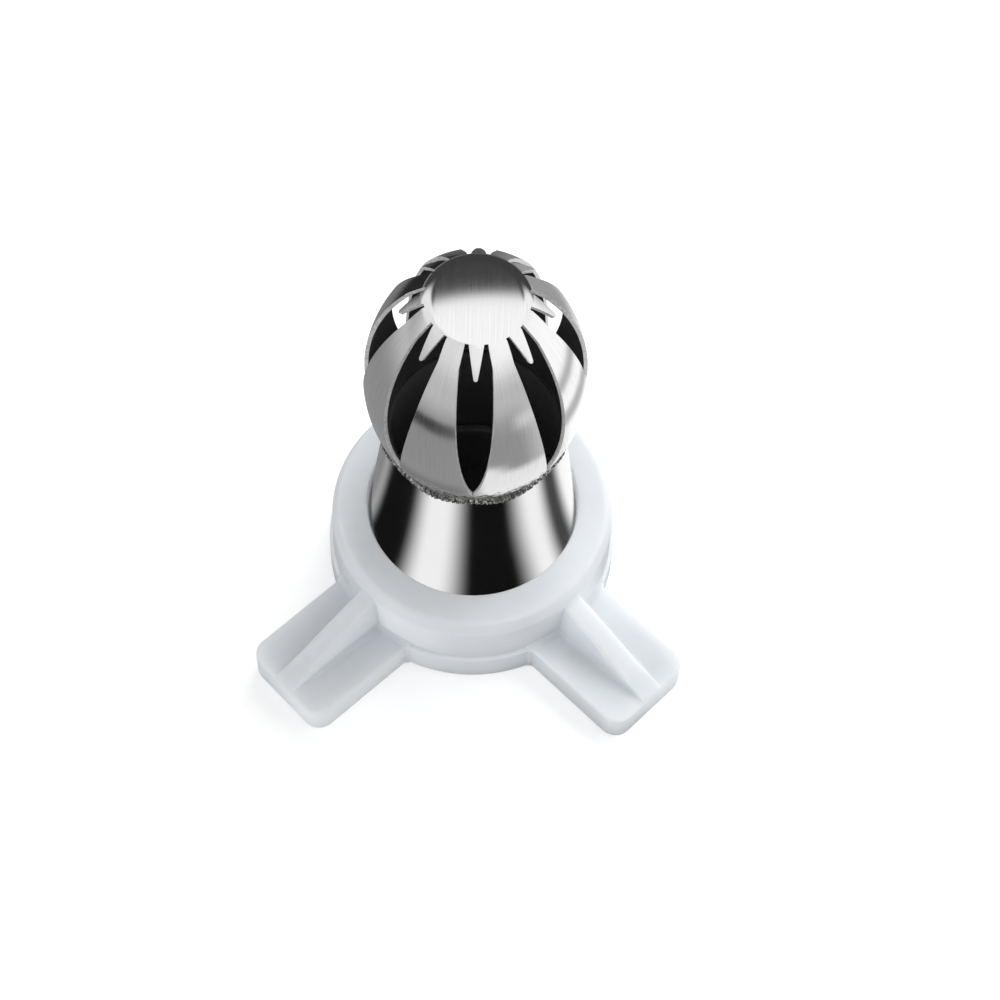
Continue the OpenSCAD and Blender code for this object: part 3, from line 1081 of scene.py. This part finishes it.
# %% [markdown]
# ## Cards for the metal
# A card is a glowing surface that only reflections see. Its level is a number on each point of
# its mesh, so a bright area can fade into a dark one, as it does on a real reflector. One card
# lies on the table, for the cone, which looks down at it. One hangs as a wide ring just below
# the ball, for the ball alone: it glows upwards and can't be seen from below. The last is a
# round wall far off, which the top of the ball mirrors. Angles run from the front to the right.

# %% Make a glowing card


def add_card(name, points, quads, level, one_sided=False):
    """A surface in millimetres whose points each glow at their own level."""
    mesh = new_mesh(name, points, quads)
    stored = mesh.attributes.new("level", "FLOAT", "POINT")
    stored.data.foreach_set("value", level.ravel().astype(np.float32))
    card = new_object(name, mesh)
    material, tree, shader = new_material(name)
    tree.nodes.remove(shader)
    here = add_node(tree, "ShaderNodeAttribute", attribute_name="level").outputs["Fac"]
    glow = add_node(tree, "ShaderNodeEmission")
    feed(tree, glow, Strength=here)
    seen = glow.outputs["Emission"]
    if one_sided:
        clear = add_node(tree, "ShaderNodeMixShader")
        nothing = add_node(tree, "ShaderNodeBsdfTransparent").outputs["BSDF"]
        behind = add_node(tree, "ShaderNodeNewGeometry").outputs["Backfacing"]
        for value, target in zip((behind, seen, nothing), clear.inputs):
            tree.links.new(value, target)
        seen = clear.outputs["Shader"]
    feed(tree, tree.nodes["Material Output"], Surface=seen)
    mesh.materials.append(material)
    card.visible_camera = card.visible_diffuse = card.visible_transmission = False
    card.visible_shadow = card.visible_volume_scatter = False
    print(f"{name}: levels {level.min():.2f} to {level.max():.2f}")


def band(value, start, end, soft):
    """1 between start and end and 0 outside, with a soft step of the given width over each."""
    begun = soft_step(value, start - soft / 2, start + soft / 2)
    return begun * (1 - soft_step(value, end - soft / 2, end + soft / 2))


def painted(level, patches):
    """Lays patches over a level in turn: level (1 - share) + target share for each."""
    for target, share in patches:
        level = level * (1 - share) + target * share
    return level


print("a band from 2 to 4, at 1, 2, 3 and 4:", band(np.arange(1, 5), 2, 4, 1))

# %% Lay the card on the table
BLACK, DARK, MIDDLE, WHITE = 0.007, 0.07, 0.27, 1.13
CARD_LIFT, ANGLES = 0.03, 181


def flat_ring(near, far, rings, height):
    """A ring on a level plane, with angles from the front and radii that grow by one ratio."""
    angle, r = np.meshgrid(np.linspace(-180, 180, ANGLES), np.geomspace(near, far, rings))
    points = about_axis(r, np.radians(angle - 90), height).reshape(-1, 3)
    return angle, r, points, grid_quads(rings, ANGLES)[:, ::-1]


angle, r, points, quads = flat_ring(near=18.4, far=480, rings=24, height=CARD_LIFT)
back = np.clip(band(angle, -180, -105, 20) + band(angle, 150, 180, 20), 0, 1)
level = painted(WHITE + 0 * r, [
    (BLACK, band(angle, -12.5, 48 - 5 * soft_step(r, 27, 42), 27)),
    (MIDDLE, back),
    (BLACK, band(angle, -104, -51, 24)),
    (DARK, band(angle, 74, 98, 18)),
])
add_card("table_card", points, quads, level)
angle, r, points, quads = flat_ring(near=0.1, far=13.2, rings=5, height=CARD_LIFT)
add_card("bore_card", points, quads, BLACK + 0 * r)

# %% Hang the ring below the ball
RING_CARD_Z = 41
angle, r, points, quads = flat_ring(near=13.3, far=500, rings=30, height=RING_CARD_Z)
level = np.interp(angle, [-180, -140, -100, -30, 10, 35, 62, 75, 108, 135, 155, 180],
                  [0.10, 0.22, 0.32, 0.33, 0.35, 0.36, 0.9, 1.25, 1.25, 0.8, 0.4, 0.10])
far = soft_step(np.log(r), np.log(40), np.log(200))
near_edge = 22.6 - 0.06 * angle
arc = band(np.log(r), np.log(45), np.log(63), 0.12) * (0.95 + 0.012 * (-30 - angle)).clip(0, 1)
two_bands = np.clip(band(r, 24, 29, 2.5) + band(r, 44, 60, 7), 0, 1)
level = painted(level, [
    (0.62, far * band(angle, -125, 60, 20)),
    (0.02, band(angle, -170, -122, 14) * soft_step(r, 36, 60)),
    (0.40, band(angle, 125, 160, 14) * soft_step(r, 28, 40)),
    (1.0, band(angle, 4, 60, 10) * (1 - soft_step(r, near_edge, near_edge + 1))),
    (0.8, band(angle, 34, 54, 14) * band(np.log(r), np.log(50), np.log(75), 0.25)),
    (0.03, band(angle, -54, -12, 12) * arc),
    (0.2, band(angle, -58, -5, 14) * (1 - soft_step(r, 14.5, 16.5))),
    (0.50, band(angle, 66, 112, 10) * two_bands),
])
add_card("ring_card", points, quads, level, one_sided=True)

# %% Stand the wall round the table, and close it with a lid
WALL_R, WALL_H = 500, 1300
row_height = np.r_[np.linspace(0, 780, 14), np.linspace(790, 900, 12), 1000, np.full(5, WALL_H)]
row_reach = np.r_[np.full(28, WALL_R), 350, 200, 80, 1][:, None]
angle, z = np.meshgrid(np.linspace(-180, 180, ANGLES), row_height)
points = about_axis(row_reach, np.radians(angle - 90), z).reshape(-1, 3)
off_back = np.mod(angle, 360) - 180
foot = np.interp(angle, [-180, -125, -90, -50, 50, 70, 115, 140, 160, 180],
                 [0.06, 0.30, 0.55, 0.6, 0.6, 1.25, 1.25, 0.5, 0.2, 0.06])
upper = np.interp(angle, [-180, -115, -34, 0, 34, 70, 115, 180],
                  [1.1, 1.0, 0.9, 1.1, 1.22, 1.22, 1.15, 1.1])
reach = 21 + 0.07 * np.clip(711 - z, 0, 500)
dark_back = (1 - soft_step(np.abs(off_back), reach - 6, reach + 6)) * soft_step(z, 60, 200)
level = painted(foot, [
    (upper, soft_step(z, 60, 260)),
    (0.06, dark_back),
    (1.22, soft_step(z, 824 + 2.0 * off_back, 884 + 2.0 * off_back)),
])
add_card("wall_card", points, grid_quads(len(row_height), ANGLES), level)

# %% [markdown]
# ## The camera
# The camera looks down at sixty-two degrees from four hundred millimetres away, with a long lens,
# and is aimed at the rim of the collar. A small shift puts the object where it belongs in the frame.

# %% Place the camera
IMAGE = 1000
CAMERA_TILT, CAMERA_DISTANCE, FOCAL_PIXELS = 62.0, 400.0, 2714.4
AIM_X, AIM_Y, ROLL = 472.6, 499.8, 1.44
lens = bpy.data.cameras.new("camera")
lens.sensor_width = 36
lens.lens = FOCAL_PIXELS / IMAGE * lens.sensor_width
lens.shift_x = (IMAGE / 2 - AIM_X) / IMAGE
lens.shift_y = (AIM_Y - IMAGE / 2) / IMAGE
lens.clip_start, lens.clip_end = 0.01, 10
camera = new_object("camera", lens)
tilt = math.radians(CAMERA_TILT)
camera_y = -CAMERA_DISTANCE * MM * math.cos(tilt)
camera.location = (0, camera_y, (collar_h + CAMERA_DISTANCE * math.sin(tilt)) * MM)
camera.rotation_mode = "ZYX"
camera.rotation_euler = (math.radians(90 - CAMERA_TILT), 0, math.radians(ROLL))
bpy.context.scene.camera = camera
bpy.context.scene.view_settings.view_transform = "Standard"
print(f"lens {lens.lens:.1f} mm, shift {lens.shift_x:.4f}, {lens.shift_y:.4f}")
